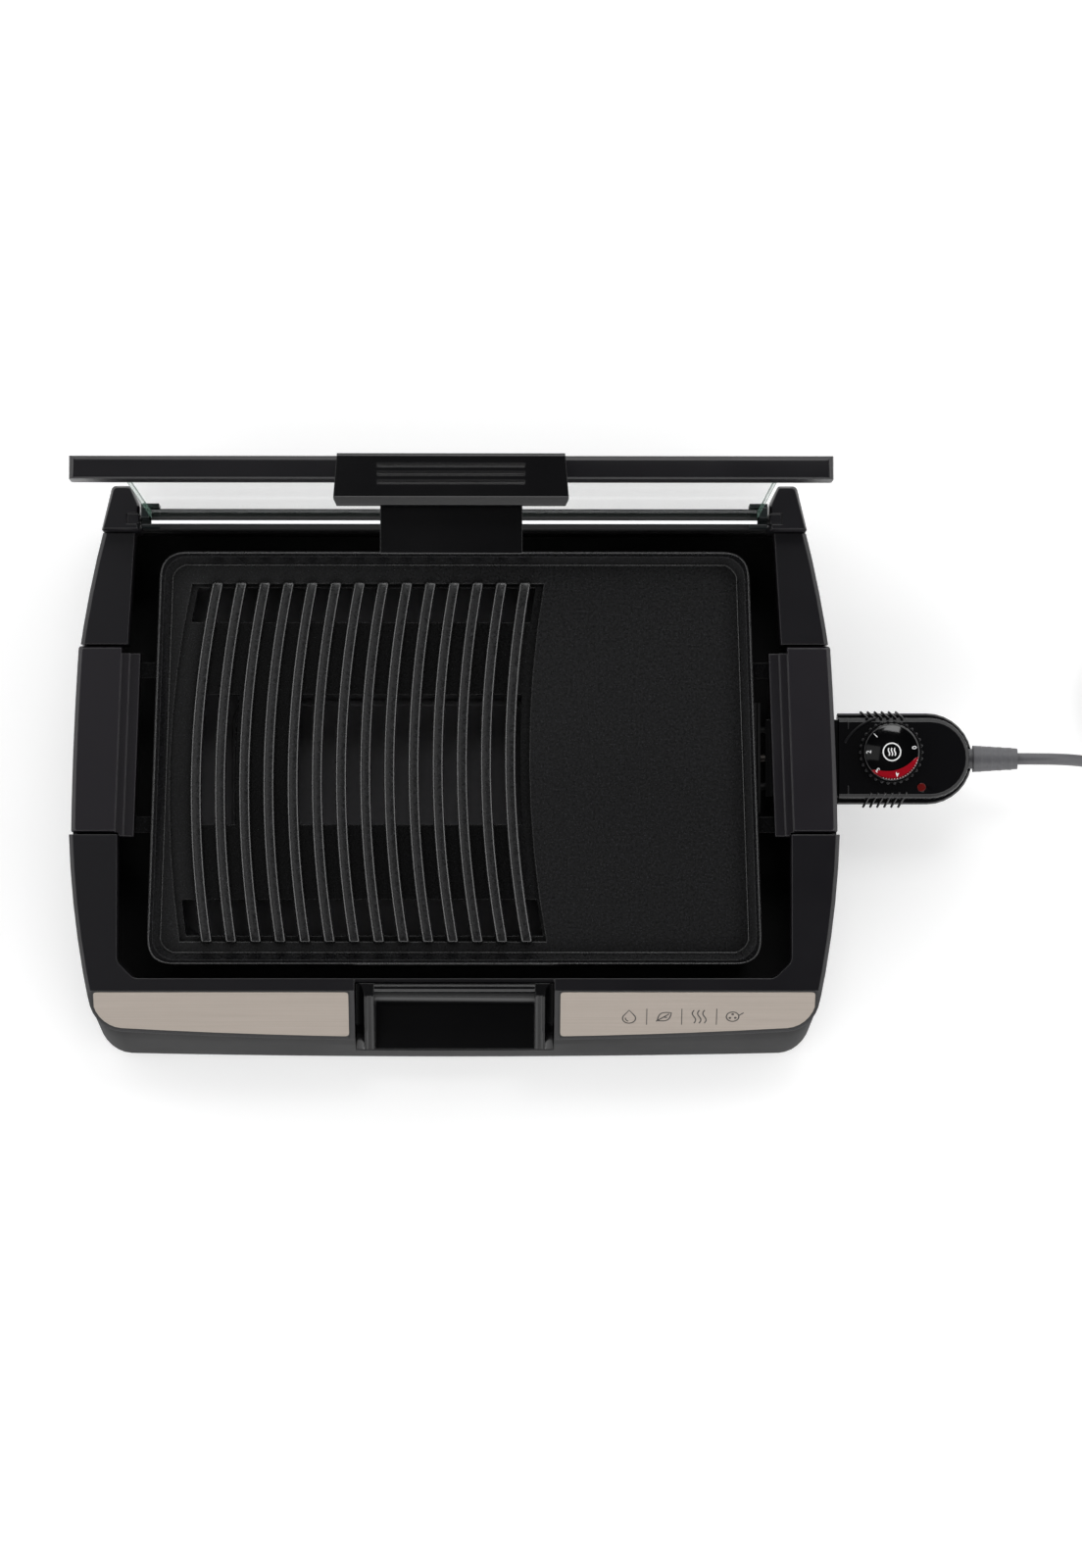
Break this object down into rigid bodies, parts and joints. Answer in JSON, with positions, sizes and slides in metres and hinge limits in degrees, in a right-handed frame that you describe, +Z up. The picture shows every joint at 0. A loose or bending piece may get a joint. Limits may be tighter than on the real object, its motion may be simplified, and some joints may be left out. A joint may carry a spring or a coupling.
{
  "type": "electric indoor grill with lid",
  "caption": "Countertop electric grill: bowed base, lift-out ribbed plate with side handles, hinged glass lid, drip tray and plug-in thermostat probe on a mains lead.",
  "frame": {"origin": "on the counter, under the middle of the whole appliance with its probe and raised lid, without the mains lead", "axes": "+Z up, +Y to the rear where the lid is hinged, +X to the right where the probe plugs in"},
  "size_m": [0.7335, 0.3458, 0.3885],
  "materials": {
    "housing_black": "satin moulded",
    "contact_brass": "plain",
    "cord_pvc": "matt PVC",
    "element_sheath": "oxidised sheath",
    "lid_glass": "clear toughened",
    "probe_black": "polished",
    "hinge_plastic": "satin moulded",
    "lamp_red": "clear red",
    "nonstick": "grained non-stick coating on cast aluminium",
    "rail_aluminium": "satin anodised",
    "rubber_black": "matt",
    "plain_steel": "zinc plated",
    "switch_body": "ceramic-filled",
    "tray_enamel": "grey enamel",
    "trim_steel": "brushed, warm"
  },
  "bodies": {
    "base": {"base_tub": "housing_black", "front_housing": "housing_black", "recess_panel": "housing_black", "trim_plate_left": "trim_steel", "trim_plate_right": "trim_steel", "side_cover_left": "housing_black", "side_cover_right": "housing_black", "hinge_tower_left": "housing_black", "hinge_tower_right": "housing_black", "rubber_feet": "rubber_black", "base_screws": "plain_steel"},
    "tray": {"drip_tray": "tray_enamel"},
    "plate": {"cooking_plate": "nonstick", "heating_element": "element_sheath", "terminal_pins": "plain_steel", "socket_shroud": "element_sheath", "side_handle_left": "housing_black", "side_handle_right": "housing_black", "side_handle_screws": "plain_steel"},
    "hinge_pins": {"hinge_pin_left": "hinge_plastic", "hinge_pin_right": "hinge_plastic"},
    "lid": {"hinge_block_left": "hinge_plastic", "hinge_block_right": "hinge_plastic", "hinge_rail": "rail_aluminium", "glass_gasket": "rubber_black", "lid_glass": "lid_glass", "lid_bar": "housing_black", "lid_handle": "housing_black", "lid_flap": "housing_black", "lid_handle_screws": "plain_steel"},
    "probe": {"probe_upper_shell": "probe_black", "probe_lower_shell": "probe_black", "probe_contacts": "contact_brass", "sensor_rod": "plain_steel", "thermostat_switch": "switch_body", "lamp_lens": "lamp_red", "probe_screws": "plain_steel", "strain_relief": "rubber_black", "cord_lead": "cord_pvc", "cord_coil": "cord_pvc", "cord_tail": "cord_pvc", "plug_body": "cord_pvc", "plug_pins": "plain_steel"},
    "dial": {"dial_spindle": "plain_steel", "dial_skirt": "probe_black", "dial_cap": "probe_black"}
  },
  "joints": [
    {"name": "lid_lift", "type": "slide", "parent": "base", "child": "hinge_pins", "axis": [0, 0, 1], "range_m": [0, 0.06]},
    {"name": "lid_hinge", "type": "hinge", "parent": "hinge_pins", "child": "lid", "pos_m": [-0.054, 0.1499, 0.0775], "axis": [-1, 0, 0], "range_deg": [-90, 0]},
    {"name": "plate_lift", "type": "slide", "parent": "base", "child": "plate", "axis": [0, 0, 1], "range_m": [0, 0.15]},
    {"name": "tray_lift", "type": "slide", "parent": "base", "child": "tray", "axis": [0, 0, 1], "range_m": [0, 0.075]},
    {"name": "probe_pull", "type": "slide", "parent": "plate", "child": "probe", "axis": [1, 0, 0], "range_m": [0, 0.09]},
    {"name": "dial_turn", "type": "hinge", "parent": "probe", "child": "dial", "pos_m": [0.2068, 0.0125, 0.057], "axis": [0, 0, -1], "range_deg": [0, 280]}
  ],
  "couplings": [
    {"joint": "tray_lift", "follows": "plate_lift", "ratio": 0.5}
  ]
}
